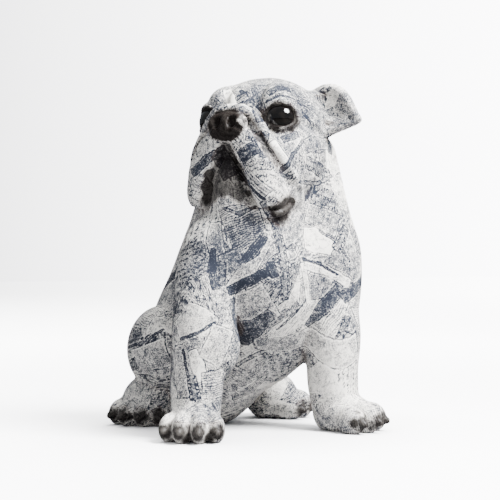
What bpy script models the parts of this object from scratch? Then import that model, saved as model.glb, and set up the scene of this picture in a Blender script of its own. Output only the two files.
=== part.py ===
"""Sitting bulldog figurine: one cast figure with two glass eyes set in its head.

Metres, +Z up. The dog's chest looks along -Y, its left side is +X, and it sits on the plane Z = 0.
The figure is modelled like clay, in a Geometry Nodes tree: simple masses are joined and carved as
distances, and their surface is then made a mesh. Its pose and carving are in shares of its height.
"""

import math

import bmesh
import bpy
from mathutils import Euler, Vector

# Driving sizes, in metres
FIGURE_HEIGHT = 0.33
EYE_DIAMETER = 0.0284
EYE_CLEARANCE = 0.0003

# The mesh: the clay's cell, and how many triangles the figure keeps
CELL = 0.0022
FIGURE_TRIANGLES = 8600
EYE_SEGMENTS = 24
EYE_RINGS = 12

# From here on, lengths are shares of the figure's height, which is FORM_HEIGHT of them
FORM_HEIGHT = 97.75
UNIT = FIGURE_HEIGHT / FORM_HEIGHT
CLAY_LOW = (-36.0, -35.0, -1.5)
CLAY_HIGH = (39.0, 38.0, 101.0)
FIGURE_CENTRE = (2.3, 2.8)
SOLE_DEPTH = 0.4

# The head's own place and directions: it looks to the dog's right and a little up
HEAD_PLACE = (4.2, -7.2, 86.0)
HEAD_PITCH = -12.0
HEAD_YAW = -60.0
EYE_PLACE = (10.8, -8.4, -2.6)


def calculate(tree, operation, *values):
    """A Math node: its value from these sockets and numbers."""
    node = tree.nodes.new("ShaderNodeMath")
    node.operation = operation
    return wire(tree, node, values).outputs["Value"]


def compute(tree, operation, *values):
    """A Vector Math node: its vector, or its value where it gives one."""
    node = tree.nodes.new("ShaderNodeVectorMath")
    node.operation = operation
    single = operation in ("LENGTH", "DOT_PRODUCT")
    return wire(tree, node, values).outputs["Value" if single else "Vector"]


def wire(tree, node, values):
    """Give the node's inputs, in order, these sockets and numbers."""
    for socket, value in zip([one for one in node.inputs if one.enabled], values):
        if isinstance(value, bpy.types.NodeSocket):
            tree.links.new(value, socket)
        else:
            socket.default_value = value
    return node


def distance_group(name, inputs):
    """An empty node group that gives a distance, and the sockets of its inputs."""
    tree = bpy.data.node_groups.new(name, "GeometryNodeTree")
    for label, kind in inputs:
        tree.interface.new_socket(label, in_out="INPUT", socket_type="NodeSocket" + kind)
    tree.interface.new_socket("Distance", in_out="OUTPUT", socket_type="NodeSocketFloat")
    entry = tree.nodes.new("NodeGroupInput")
    return tree, [entry.outputs[label] for label, kind in inputs]


def give(tree, distance):
    result = tree.nodes.new("NodeGroupOutput")
    tree.links.new(distance, result.inputs["Distance"])
    return tree


def egg_group():
    """The distance to an ellipsoid, which has its own place and turn."""
    tree, (point, centre, turn, radii) = distance_group(
        "Egg", [("Point", "Vector"), ("Centre", "Vector"), ("Turn", "Vector"), ("Radii", "Vector")])
    turned = tree.nodes.new("ShaderNodeVectorRotate")
    turned.rotation_type = "EULER_XYZ"
    turned.invert = True
    tree.links.new(compute(tree, "SUBTRACT", point, centre), turned.inputs["Vector"])
    tree.links.new(turn, turned.inputs["Rotation"])
    share = compute(tree, "DIVIDE", turned.outputs["Vector"], radii)
    slope = compute(tree, "LENGTH", compute(tree, "DIVIDE", share, radii))
    reach = compute(tree, "LENGTH", share)
    rise = calculate(tree, "MULTIPLY", reach, calculate(tree, "SUBTRACT", reach, 1.0))
    return give(tree, calculate(tree, "DIVIDE", rise, slope))


def limb_group():
    """The distance to a round bar with round ends, of a radius at each end."""
    tree, (point, start, along, share, thick, growth) = distance_group(
        "Limb", [("Point", "Vector"), ("Start", "Vector"), ("Along", "Vector"), ("Share", "Vector"),
                 ("Thick", "Float"), ("Growth", "Float")])
    reach = compute(tree, "SUBTRACT", point, start)
    way = calculate(tree, "ADD", compute(tree, "DOT_PRODUCT", reach, share), 0.0)
    way.node.use_clamp = True
    spine = tree.nodes.new("ShaderNodeVectorMath")
    spine.operation = "SCALE"
    tree.links.new(along, spine.inputs["Vector"])
    tree.links.new(way, spine.inputs["Scale"])
    aside = compute(tree, "LENGTH", compute(tree, "SUBTRACT", reach, spine.outputs["Vector"]))
    radius = calculate(tree, "MULTIPLY_ADD", way, growth, thick)
    return give(tree, calculate(tree, "SUBTRACT", aside, radius))


class Clay:
    """A form as a field of distances to its surface, negative inside it."""

    def __init__(self, tree, distance):
        self.tree = tree
        self.distance = distance

    def add(self, other, blend=1.0):
        if blend:
            joined = calculate(self.tree, "SMOOTH_MIN", self.distance, other.distance, blend)
        else:
            joined = calculate(self.tree, "MINIMUM", self.distance, other.distance)
        return Clay(self.tree, joined)

    def carve(self, other, blend=1.0):
        outside = calculate(self.tree, "MULTIPLY", other.distance, -1.0)
        return Clay(self.tree, calculate(self.tree, "SMOOTH_MAX", self.distance, outside, blend))

    def press(self, course, depth, width):
        """A soft crease of this depth along a course, or a raised roll where the depth is negative."""
        node = self.tree.nodes.new("ShaderNodeMapRange")
        node.interpolation_type = "SMOOTHSTEP"
        self.tree.links.new(course.distance, node.inputs["Value"])
        node.inputs["From Min"].default_value = 0.0
        node.inputs["From Max"].default_value = width
        node.inputs["To Min"].default_value = depth
        node.inputs["To Max"].default_value = 0.0
        changed = calculate(self.tree, "ADD", self.distance, node.outputs["Result"])
        return Clay(self.tree, changed)


class Space:
    """The points of space, seen in the directions of one part of the dog."""

    def __init__(self, tree, point):
        self.tree = tree
        self.point = point

    def local(self, place, pitch=0.0, roll=0.0, yaw=0.0):
        """The same points from a part at place, turned about X, then Y, then Z, in degrees."""
        turn = self.tree.nodes.new("ShaderNodeVectorRotate")
        turn.rotation_type = "EULER_XYZ"
        turn.invert = True
        turn.inputs["Rotation"].default_value = [math.radians(angle) for angle in (pitch, roll, yaw)]
        self.tree.links.new(compute(self.tree, "SUBTRACT", self.point, place), turn.inputs["Vector"])
        return Space(self.tree, turn.outputs["Vector"])

    def mirrored(self):
        """Both sides of the plane X = 0 as one, so that a mass at +X is also at -X."""
        both = compute(self.tree, "ABSOLUTE", self.point)
        across = compute(self.tree, "MULTIPLY", both, (1, 0, 0))
        return Space(self.tree, compute(self.tree, "MULTIPLY_ADD", self.point, (0, 1, 1), across))

    def scaled(self, shares):
        """The same points with each direction shortened or stretched."""
        return Space(self.tree, compute(self.tree, "MULTIPLY", self.point, shares))

    def form(self, group, *values):
        """A form from its node group, with the group's other inputs in order."""
        node = self.tree.nodes.new("GeometryNodeGroup")
        node.node_tree = bpy.data.node_groups[group]
        return Clay(self.tree, wire(self.tree, node, (self.point, *values)).outputs["Distance"])

    def egg(self, centre, radii, pitch=0.0, roll=0.0, yaw=0.0):
        """An ellipsoid."""
        turn = [math.radians(angle) for angle in (pitch, roll, yaw)]
        return self.form("Egg", centre, turn, radii)

    def limb(self, start, end, start_radius, end_radius):
        """A round bar with round ends, thicker at one end than at the other."""
        along = Vector(end) - Vector(start)
        return self.form("Limb", start, along, along / along.length_squared,
                         start_radius, end_radius - start_radius)

    def rope(self, points, radii, steps=2):
        """A fold or roll of skin: a smooth course of limbs through the points."""
        form = None
        course = list(zip(*[curve(row, steps) for row in zip(*points)]))
        widths = curve(radii, steps)
        for start, end, thick, thin in zip(course, course[1:], widths, widths[1:]):
            piece = self.limb(start, end, thick, thin)
            form = piece if form is None else form.add(piece, 0)
        return form


def curve(values, steps):
    """The values with smooth steps between them."""
    padded = [2 * values[0] - values[1], *values, 2 * values[-1] - values[-2]]
    result = []
    for before, start, end, after in zip(padded, padded[1:], padded[2:], padded[3:]):
        for step in range(steps):
            t = step / steps
            rise = (end - before) * t + (2 * before - 5 * start + 4 * end - after) * t ** 2
            result.append(start + (rise + (3 * start - before - 3 * end + after) * t ** 3) / 2)
    return result + [values[-1]]


def torso(dog):
    """Chest, belly, rump and back of the sitting body, with the thick neck up to the head."""
    form = dog.egg((3.0, -8, 43), (17.5, 15, 20))
    form = form.add(dog.rope([(6, -7, 38), (9.4, -1, 27), (0.5, 10, 19)], [13, 12.8, 13.2], 3), 5)
    form = form.add(dog.egg((-1.5, 16, 22), (17, 16, 22.9)), 8)
    back = dog.rope([(6, -1, 74), (5, 0, 58), (2, 8, 44), (-1, 15, 30)], [16.5, 17.5, 16.5, 16], 3)
    form = form.add(back, 6)
    nape = dog.rope([(14.8, -5.5, 74), (16.2, -6.5, 62), (18, -8, 50)], [12.0, 13.0, 13.5], 3)
    form = form.add(nape, 6)
    form = form.add(dog.egg((-10.5, -9, 46), (11, 10.5, 14)), 5)
    form = form.add(dog.egg((21.0, -10.5, 42), (11, 10.5, 19)), 5)
    return form.add(dog.limb((-1, -10.5, 46), (-1, -11, 64), 14, 11), 8)


def tail(dog):
    """Short thick tail that lies against the rump."""
    return dog.rope([(-1.5, 29, 19), (-1.5, 32.0, 16.5), (-0.6, 33.2, 13.0)], [3.4, 2.8, 1.8])


def foreleg(dog, side, lean, splay, elbow):
    """One straight foreleg, from the shoulder down to the wrist, with its elbow over the wrist."""
    x, y = side * 18 + lean, -13
    course = [(x - side, y + 2, 41), (x + side * 1.2, y - 0.8, 28), (x + side * (1.8 + splay), y - 1.2, 16),
              (x + side * (2.5 + splay * 1.3), y - 1.5, 5)]
    form = dog.rope(course, [8.4, 8.3, 6.8, 6.5], 8)
    form = form.add(dog.egg((x + side * (2.0 + splay), y + 0.8, 15), (6.0, 7.6, 12)), 3)
    if not elbow:
        return form
    return form.add(dog.egg((x - side * elbow, y - 2.4, 25), (6.8, 6.8, 8.8), roll=side * 10), 3)


def haunches(dog):
    """Folded hind legs: the thighs, and the hocks on the ground."""
    form = dog.egg((-17, 16, 22.2), (9.2, 14, 11.6), pitch=-25, yaw=-6)
    form = form.add(dog.egg((13, 18, 21), (8.6, 13.5, 12), pitch=-25, yaw=6), 4)
    form = form.add(dog.egg((-18.8, 20.4, 6.2), (7.6, 8.4, 8.0)), 1.5)
    return form.add(dog.egg((20.5, 20, 6.5), (8, 7.5, 7.5)), 1.5)


def paw(space, spread=1.0):
    """One paw that points along -Y, with four toes and their claws."""
    sides = space.mirrored()
    form = space.egg((0, -0.5, 4.6), (7.2 * spread, 7.5, 5.6))
    toes = sides.egg((2.45 * spread, -6.6, 3.7), (2.75, 4.6, 4.3), yaw=5)
    toes = toes.add(sides.egg((6.6 * spread, -4.0, 3.4), (2.7, 4.6, 4.0), yaw=17), 0.8)
    form = form.add(toes, 1.0)
    claws = sides.egg((2.9 * spread, -10.9, 3.1), (1.2, 1.5, 1.1), pitch=25)
    claws = claws.add(sides.egg((8.0 * spread, -8.1, 3.0), (1.2, 1.5, 1.1), pitch=25, yaw=17), 0.2)
    return form.add(claws, 0.35)


def skull(head):
    """Broad skull with brow bulges, full cheeks below, and the creases between them."""
    sides = head.mirrored()
    form = head.egg((0, 3, 0.6), (15.4, 15.5, 11.6))
    form = form.add(sides.egg((8.0, -6.0, 2.2), (5.8, 6.6, 5.8)), 3)
    form = form.add(head.egg((0, -8.5, 0.0), (6.0, 6.6, 6.5)), 2.5)
    form = form.add(sides.egg((9.5, 1, -10), (8.2, 11.5, 11.5)), 4)
    form = form.add(sides.egg((10.5, -4, -15), (6.6, 9, 10)), 3)
    form = form.add(head.egg((0, -7, -9), (11, 9, 9)), 4)
    furrows = sides.rope([(4.2, -15.0, -1.0), (5.6, -12.6, 4.0), (5.0, -8.5, 8.6)], [0.5, 0.5, 0.2])
    form = form.press(furrows, 1.0, 1.7)
    form = form.press(head.rope([(0, -14.8, 2), (0, -11.5, 7), (0, -4, 11.6)], [0.3, 0.3, 0.2]), 0.6, 2.0)
    temples = sides.rope([(15.0, -6.5, -2.4), (15.8, 0, -3.4), (15.6, 8, -3.6)], [0.4, 0.4, 0.2])
    return form.press(temples, 1.3, 1.8)


def muzzle(head):
    """Short broad muzzle, with flews that hang down to either side of the chin."""
    sides = head.mirrored()
    form = head.egg((0, -12.5, -8.0), (8.5, 6.0, 6.0))
    form = form.add(sides.egg((5.4, -12.2, -12.0), (6.2, 5.6, 6.5)), 2.5)
    form = form.add(sides.egg((8.8, -9.4, -17.0), (5.9, 7.0, 9.6), roll=-9), 3)
    return form.add(sides.egg((10.3, -8.8, -22.6), (4.8, 6.0, 5.9), roll=-6), 2)


def chin(head):
    """Lower jaw, seen between the flews, with the rims of the lower lip at its sides."""
    sides = head.mirrored()
    form = head.egg((0, -8.0, -19.5), (5.6, 7.4, 8.5))
    form = form.add(head.egg((0, -12.8, -17.4), (3.4, 2.6, 4.2)), 2)
    form = form.add(head.limb((0, -10.5, -22), (0, -6, -32), 5.4, 8.0), 3)
    rim = sides.rope([(1.8, -14.2, -14.6), (3.1, -14.4, -18.5), (4.1, -13.6, -23.0), (5.2, -11.6, -27.0)],
                     [0.6, 0.8, 0.9, 0.8])
    return form.add(rim, 0.8)


def jowls(head):
    """Throat skin under the flews, with a fold along each of them."""
    sides = head.mirrored()
    form = sides.egg((9.0, -1.5, -22.0), (6.5, 5.5, 5.0))
    fold = sides.rope([(7.6, -9.4, -27.2), (10.6, -8.6, -28.6), (13.0, -6.4, -28.0), (13.6, -3.8, -26.0)],
                      [0.9, 1.2, 1.0, 0.7])
    return form.add(fold, 2)


def nose(head):
    """Broad nose with its nostrils and the slit between them."""
    sides = head.mirrored()
    form = head.egg((0, -16.3, -6.2), (5.2, 3.4, 4.0))
    form = form.add(sides.egg((3.3, -17.2, -6.4), (2.6, 2.7, 3.1)), 0.8)
    form = form.add(head.egg((0, -16.8, -8.2), (2.8, 2.6, 2.8)), 1)
    form = form.carve(sides.egg((2.7, -20.0, -6.2), (1.3, 3.6, 1.7), yaw=20), 0.5)
    form = form.carve(sides.limb((3.8, -19.8, -7.2), (5.6, -18.0, -8.6), 0.7, 0.4), 0.5)
    return form.carve(head.limb((0, -20.5, -4.6), (0, -19.4, -12.0), 0.6, 0.7), 0.3)


def nose_roll(head):
    """The roll of skin over the nose, down to the cheeks."""
    sides = head.mirrored()
    course = [(0, -16.6, -1.9), (3.6, -16.6, -2.2), (6.8, -15.2, -4.4),
              (9.2, -13.8, -8.0), (12.0, -12.3, -11.9), (14.3, -9.6, -15.4), (15.6, -6.0, -18.2),
              (15.8, -2.5, -20.4)]
    return sides.rope(course, [1.5, 1.6, 1.7, 1.8, 1.8, 1.7, 1.3, 0.8])


def roll_groove(head):
    """The crease between the nose roll and the flews."""
    course = [(5.4, -16.4, -4.8), (7.2, -15.2, -7.6), (9.2, -14.2, -11.0), (11.8, -12.9, -14.4),
              (13.9, -10.6, -17.6), (14.9, -7.4, -20.4)]
    return head.mirrored().rope(course, [0.2, 0.3, 0.3, 0.3, 0.2, 0.1], 3)


def mouth(head):
    """The hollow under the upper lip, between the flews and the chin."""
    sides = head.mirrored()
    form = sides.rope([(0, -17.5, -13.4), (1.6, -17.2, -16.6), (2.9, -16.4, -20.5), (4.6, -15.0, -24.5)],
                      [1.7, 1.8, 1.9, 2.0])
    return form.add(head.egg((0, -15.0, -19.0), (3.0, 4.6, 6.0)), 1)


def mouth_grooves(head):
    """The deep gaps between the lower lip and the flews."""
    share = 0.4
    course = [(2.2, -15.6 * share, -15.0), (4.2, -14.8 * share, -19.0),
              (5.5, -13.6 * share, -23.0), (7.2, -12.2 * share, -26.6)]
    return head.mirrored().scaled((1, share, 1)).rope(course, [0.8, 1.0, 1.1, 1.2])


def eyelids(head):
    """Lids round both eyes, open like an almond, and the fold over each upper lid."""
    eye = head.mirrored().local(EYE_PLACE, yaw=28)
    form = eye.egg((0, 0, 0), (4.95, 4.95, 4.95))
    form = form.carve(eye.egg((0, -5.4, -0.2), (8.0, 3.7, 3.4)), 0.3)
    fold = eye.egg((0, 0.5, 0.9), (5.5, 5.2, 5.6))
    return form.add(fold.carve(eye.egg((0, -5.4, -1.4), (9.0, 4.4, 5.6)), 0.4), 0.25)


def ears(head):
    """Small thick ears at the back of the skull, folded outwards and open to the front."""
    sides = head.mirrored()
    form = sides.limb((9, 9, 5), (15, 10.2, 4.5), 5.5, 3.6)
    form = form.add(sides.egg((16.2, 10.5, 5.0), (6.4, 1.9, 5.2), roll=38, yaw=8), 1.5)
    rim = sides.rope([(9.0, 9.4, 9.4), (12.6, 9.4, 11.0), (16.0, 9.6, 10.8), (18.8, 9.8, 9.0), (20.8, 10.2, 6.2),
                      (22.6, 10.6, 3.4), (23.8, 10.7, 1.9), (20.8, 10.7, 0.9), (17.2, 10.5, -0.2), (14.5, 10.0, -1.0)],
                     [1.4, 1.5, 1.5, 1.4, 1.3, 1.1, 0.9, 1.1, 1.3, 1.8])
    form = form.add(rim, 0.8)
    return form.carve(sides.egg((16.0, 7.5, 5.0), (5.6, 2.6, 3.4), roll=38, yaw=8), 0.8)


def head_form(head):
    """The whole head, carved and built up from the skull outwards."""
    sides = head.mirrored()
    form = skull(head).add(muzzle(head), 2)
    form = form.carve(mouth(head), 0.8)
    form = form.add(nose_roll(head), 0.6)
    form = form.press(roll_groove(head), 1.0, 2.2)
    form = form.add(nose(head), 0.4)
    x, y, z = EYE_PLACE
    form = form.carve(sides.egg((x + 2.4, y - 4.4, z - 0.2), (3.7, 3.6, 3.2), yaw=28), 0.5)
    form = form.add(eyelids(head), 0.3)
    form = form.add(chin(head), 0.5)
    form = form.carve(mouth_grooves(head), 0.6)
    form = form.carve(sides.egg((12.0, -8.6, -28.6), (3.8, 3.6, 1.8), roll=-6), 0.8)
    form = form.add(jowls(head), 0.8)
    return form.add(ears(head), 1.5)


def figure_tree():
    """The whole dog as a node tree that turns the clay into a mesh."""
    egg_group()
    limb_group()
    tree = bpy.data.node_groups.new("Bulldog clay", "GeometryNodeTree")
    tree.interface.new_socket("Geometry", in_out="OUTPUT", socket_type="NodeSocketGeometry")
    position = tree.nodes.new("GeometryNodeInputPosition").outputs["Position"]
    shift = (FIGURE_CENTRE[0], FIGURE_CENTRE[1], 0.0)
    scaled = compute(tree, "DIVIDE", position, (UNIT, UNIT, UNIT))
    dog = Space(tree, compute(tree, "ADD", scaled, shift))

    form = torso(dog)
    for side, lean, splay, elbow in ((-1, 1.5, 1.0, 1.4), (1, 2.4, 0.0, 0.0)):
        form = form.add(foreleg(dog, side, lean, splay, elbow), 3)
    form = form.add(paw(dog.local((-20.8, -15.6, 0), yaw=-34), 0.88), 2)
    form = form.add(paw(dog.local((24.2, -17.0, 0), yaw=40), 0.96), 2)
    form = form.add(haunches(dog), 2)
    form = form.add(tail(dog), 1)
    form = form.add(paw(dog.local((-18.5, 22.0, 0), yaw=-50), 0.95), 2)
    form = form.add(paw(dog.local((22.0, 20.0, 0), yaw=62), 0.95), 2)
    form = form.add(head_form(dog.local(HEAD_PLACE, pitch=HEAD_PITCH, yaw=HEAD_YAW)), 2.5)
    ground = calculate(tree, "ADD", compute(tree, "DOT_PRODUCT", dog.point, (0, 0, 1)), SOLE_DEPTH)
    form = form.carve(Clay(tree, ground), 0.6)

    density = calculate(tree, "MULTIPLY", form.distance, -UNIT)
    cube = tree.nodes.new("GeometryNodeVolumeCube")
    tree.links.new(density, cube.inputs["Density"])
    cube.inputs["Background"].default_value = -1.0
    low = [(a - b) * UNIT for a, b in zip(CLAY_LOW, shift)]
    high = [(a - b) * UNIT for a, b in zip(CLAY_HIGH, shift)]
    cube.inputs["Min"].default_value = low
    cube.inputs["Max"].default_value = high
    for axis, start, end in zip("XYZ", low, high):
        cube.inputs["Resolution " + axis].default_value = round((end - start) / CELL)
    surface = tree.nodes.new("GeometryNodeVolumeToMesh")
    surface.inputs["Threshold"].default_value = 0.0
    tree.links.new(cube.outputs["Volume"], surface.inputs["Volume"])
    result = tree.nodes.new("NodeGroupOutput")
    tree.links.new(surface.outputs["Mesh"], result.inputs["Geometry"])
    return tree


def finish(item, name, collection, color, roughness):
    """Name the object, give it its material and put it in the collection."""
    item.name = name
    item.data.name = name
    material = bpy.data.materials.new(name)
    material.use_nodes = True
    shader = material.node_tree.nodes["Principled BSDF"]
    shader.inputs["Base Color"].default_value = (*color, 1.0)
    shader.inputs["Roughness"].default_value = roughness
    shader.inputs["Metallic"].default_value = 0.0
    item.data.materials.clear()
    item.data.materials.append(material)
    item.data.shade_smooth()
    for holder in item.users_collection:
        holder.objects.unlink(item)
    collection.objects.link(item)
    return item


def ball(place, radius, segments, rings):
    """A sphere whose origin is its middle."""
    mesh = bpy.data.meshes.new("ball")
    shape = bmesh.new()
    bmesh.ops.create_uvsphere(shape, u_segments=segments, v_segments=rings, radius=radius)
    shape.to_mesh(mesh)
    shape.free()
    item = bpy.data.objects.new("ball", mesh)
    bpy.context.scene.collection.objects.link(item)
    item.location = place
    return item


def eye_place(side):
    """Where the middle of an eye is, in metres: side 1 is the dog's left, -1 its right."""
    turn = Euler([math.radians(angle) for angle in (HEAD_PITCH, 0.0, HEAD_YAW)]).to_matrix()
    x, y, z = EYE_PLACE
    place = Vector(HEAD_PLACE) + turn @ Vector((side * x, y, z))
    return (place - Vector((*FIGURE_CENTRE, 0.0))) * UNIT


def clay_mesh(tree):
    """The clay's surface as an object of its own."""
    holder = bpy.data.objects.new("clay", bpy.data.meshes.new("clay"))
    bpy.context.scene.collection.objects.link(holder)
    holder.modifiers.new("Clay", "NODES").node_group = tree
    view = bpy.context.evaluated_depsgraph_get()
    mesh = bpy.data.meshes.new_from_object(holder.evaluated_get(view))
    bpy.data.objects.remove(holder)
    item = bpy.data.objects.new("dog_body", mesh)
    bpy.context.scene.collection.objects.link(item)
    return item


def add_cut(body, cutter, name, collection):
    """Cut the tool's shape out of the body, and keep the tool as an outline of its own."""
    cutter.name = name
    bpy.context.scene.collection.objects.unlink(cutter)
    collection.objects.link(cutter)
    cutter.display_type = "WIRE"
    cutter.hide_render = True
    cut = body.modifiers.new(name, "BOOLEAN")
    cut.operation = "DIFFERENCE"
    cut.solver = "EXACT"
    cut.object = cutter


def floor_block():
    """A block under Z = 0, wider than the figure, which gives it flat soles."""
    mesh = bpy.data.meshes.new("floor_block")
    shape = bmesh.new()
    bmesh.ops.create_cube(shape, size=1.0)
    bmesh.ops.scale(shape, vec=(FIGURE_HEIGHT, FIGURE_HEIGHT, FIGURE_HEIGHT / 10), verts=shape.verts)
    shape.to_mesh(mesh)
    shape.free()
    item = bpy.data.objects.new("floor_block", mesh)
    bpy.context.scene.collection.objects.link(item)
    item.location = (0, 0, -FIGURE_HEIGHT / 20)
    return item


def main():
    for leftover in list(bpy.data.objects):
        bpy.data.objects.remove(leftover)
    parts = bpy.data.collections.new("Bulldog figurine")
    cutters = bpy.data.collections.new("Cutters")
    bpy.context.scene.collection.children.link(parts)
    bpy.context.scene.collection.children.link(cutters)

    body = finish(clay_mesh(figure_tree()), "dog_body", parts, (0.62, 0.61, 0.58), 0.8)
    thin = body.modifiers.new("Fewer faces", "DECIMATE")
    thin.ratio = FIGURE_TRIANGLES / (2 * len(body.data.polygons))
    thin.use_collapse_triangulate = True
    add_cut(body, floor_block(), "floor_cut", cutters)

    for name, side in (("eye_left", 1), ("eye_right", -1)):
        place = eye_place(side)
        eye = ball(place, EYE_DIAMETER / 2, EYE_SEGMENTS, EYE_RINGS)
        finish(eye, name, parts, (0.006, 0.005, 0.005), 0.05)
        socket = ball(place, EYE_DIAMETER / 2 + EYE_CLEARANCE, EYE_SEGMENTS, EYE_RINGS)
        add_cut(body, socket, name + "_socket", cutters)


main()
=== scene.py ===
"""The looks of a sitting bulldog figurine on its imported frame: pasted paper, paint and glossy eyes."""

import math

import bmesh
import bpy
import numpy as np
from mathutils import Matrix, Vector
from mathutils.bvhtree import BVHTree


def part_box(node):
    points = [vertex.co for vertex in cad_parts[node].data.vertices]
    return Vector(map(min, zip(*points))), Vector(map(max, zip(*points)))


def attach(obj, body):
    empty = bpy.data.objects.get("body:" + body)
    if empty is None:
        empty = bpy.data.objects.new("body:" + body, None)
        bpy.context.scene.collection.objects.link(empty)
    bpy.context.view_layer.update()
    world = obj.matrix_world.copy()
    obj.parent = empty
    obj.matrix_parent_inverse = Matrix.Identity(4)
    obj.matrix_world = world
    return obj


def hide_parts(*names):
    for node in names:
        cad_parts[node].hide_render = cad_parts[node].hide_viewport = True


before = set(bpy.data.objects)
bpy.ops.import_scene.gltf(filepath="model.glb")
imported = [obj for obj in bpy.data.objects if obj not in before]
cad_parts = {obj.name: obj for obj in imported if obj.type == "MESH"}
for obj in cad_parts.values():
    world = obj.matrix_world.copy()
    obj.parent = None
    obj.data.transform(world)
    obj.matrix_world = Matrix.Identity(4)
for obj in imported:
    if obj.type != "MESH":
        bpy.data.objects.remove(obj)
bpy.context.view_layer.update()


# The figure stands on a pale paper sweep under soft studio lamps. The camera is at its front right,
# level with its middle, about 1.3 m away.

FIGURE_HEIGHT = 0.33
FORM_HEIGHT = 97.75
UNIT = FIGURE_HEIGHT / FORM_HEIGHT
FIGURE_CENTRE = (2.3, 2.8)
CAMERA_DISTANCE = 394.0
CAMERA_HEIGHT = 50.0
CAMERA_SIDE = 3.4
CAMERA_TURN = -27.0
LENS = 100.8
SENSOR = 36.0
PICTURE = 500.0
LAMPS_AIM = (0.0, 0.0, 0.15)
GLOW_SPREAD = 0.18
GLOW_LEFT = 4.2
GLOW_RIGHT = 11.0


def view_from(turn):
    """A camera's place and its directions to the right and ahead, turned this far round the figure."""
    angle = math.radians(turn)
    back = Vector((math.sin(angle), -math.cos(angle), 0.0))
    aim = Vector((CAMERA_SIDE - FIGURE_CENTRE[0], -FIGURE_CENTRE[1], CAMERA_HEIGHT))
    return (aim + back * CAMERA_DISTANCE) * UNIT, Vector((-back.y, back.x, 0.0)), -back


camera_place, camera_right, camera_ahead = view_from(CAMERA_TURN)
lens = bpy.data.cameras.new("studio_camera")
lens.sensor_width = SENSOR
lens.lens = LENS
lens.clip_end = 100.0
camera = bpy.data.objects.new("studio_camera", lens)
camera.location = camera_place
camera.rotation_mode = "QUATERNION"
camera.rotation_quaternion = camera_ahead.to_track_quat("-Z", "Y")
bpy.context.scene.collection.objects.link(camera)
bpy.context.scene.camera = camera


def softbox(name, place, size, power, mirrored):
    """A round soft lamp that faces the figure's middle; mirrored says whether the eyes reflect it."""
    lamp = bpy.data.lights.new(name, "AREA")
    lamp.shape = "DISK"
    lamp.size = size
    lamp.energy = power
    item = bpy.data.objects.new(name, lamp)
    item.location = place
    item.rotation_mode = "QUATERNION"
    item.rotation_quaternion = (Vector(LAMPS_AIM) - Vector(place)).to_track_quat("-Z", "Y")
    item.visible_glossy = mirrored
    bpy.context.scene.collection.objects.link(item)


softbox("key_lamp", (0.62, -1.02, 1.55), 0.9, 290.0, True)
softbox("fill_lamp", (-1.6, -0.9, 0.9), 1.2, 16.0, False)
softbox("top_lamp", (0.4, 0.5, 2.0), 1.4, 60.0, False)


def join(tree, socket, value):
    """Give an input another socket's value, or a value of its own."""
    if isinstance(value, bpy.types.NodeSocket):
        tree.links.new(value, socket)
    else:
        socket.default_value = value


def node(tree, kind, settings=None, **sockets):
    """A node with these settings, and with these inputs joined or set by their names."""
    made = tree.nodes.new(kind)
    for label, value in (settings or {}).items():
        setattr(made, label, value)
    for label, value in sockets.items():
        join(tree, made.inputs[label.replace("_", " ")], value)
    return made


def wire(tree, made, values):
    """Give the node's inputs, in order, these sockets and numbers; the result is its outputs."""
    for socket, value in zip([one for one in made.inputs if one.enabled], values):
        join(tree, socket, value)
    return made.outputs


def compute(tree, operation, *values):
    """A Vector Math node: its vector, or its value where it gives one."""
    made = node(tree, "ShaderNodeVectorMath", {"operation": operation})
    single = operation in ("LENGTH", "DOT_PRODUCT")
    return wire(tree, made, values)["Value" if single else "Vector"]


def backdrop_glow(tree, sideways):
    """The backdrop's brightness, which rises from the left of the picture to its right."""
    return node(tree, "ShaderNodeMapRange", Value=sideways, From_Min=-GLOW_SPREAD, From_Max=GLOW_SPREAD,
                To_Min=GLOW_LEFT, To_Max=GLOW_RIGHT).outputs["Result"]


world = bpy.data.worlds.new("studio_air")
world.use_nodes = True
air = world.node_tree
sky = air.nodes["Background"]
sky.inputs["Color"].default_value = (0.86, 0.92, 1.0, 1.0)
sky.inputs["Strength"].default_value = 0.35
incoming = node(air, "ShaderNodeNewGeometry").outputs["Incoming"]
glow = backdrop_glow(air, compute(air, "DOT_PRODUCT", incoming, -camera_right))
backdrop = node(air, "ShaderNodeBackground", Color=(0.985, 0.98, 1.0, 1.0), Strength=glow)
seen = node(air, "ShaderNodeMixShader", Fac=node(air, "ShaderNodeLightPath").outputs["Is Camera Ray"])
join(air, seen.inputs[1], sky.outputs[0])
join(air, seen.inputs[2], backdrop.outputs[0])
join(air, air.nodes["World Output"].inputs["Surface"], seen.outputs[0])
bpy.context.scene.world = world


# The figure is one thin-walled resin casting, poured in a rubber mould and turned out whole.
# A modeller's clay stood behind that mould, so it is built up here the same way, in soft masses
# that are joined, carved and creased, and only then made a surface.

CELL = 0.00187
CLAY_LOW = (-36.0, -35.0, -1.5)
CLAY_HIGH = (39.0, 38.0, 101.0)
HEAD_PLACE = (4.2, -7.2, 86.0)
HEAD_PITCH = -12.0
HEAD_YAW = -60.0
EYE_PLACE = (10.8, -8.4, -2.6)
EYE_RADIUS = 4.2


def calculate(tree, operation, *values):
    """A Math node: its value from these sockets and numbers."""
    return wire(tree, node(tree, "ShaderNodeMath", {"operation": operation}), values)["Value"]


def step(tree, value, start, end, low=0.0, high=1.0):
    """From low to high, softly, as the value goes from start to end."""
    return node(tree, "ShaderNodeMapRange", {"interpolation_type": "SMOOTHSTEP"}, Value=value,
                From_Min=start, From_Max=end, To_Min=low, To_Max=high).outputs["Result"]


def turned(tree, point, turn, back=False):
    """The point turned about X, then Y, then Z, or turned back."""
    return node(tree, "ShaderNodeVectorRotate", {"rotation_type": "EULER_XYZ", "invert": back},
                Vector=point, Rotation=turn).outputs["Vector"]


def radians(*angles):
    """These degrees, as a turn."""
    return [math.radians(angle) for angle in angles]


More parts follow.
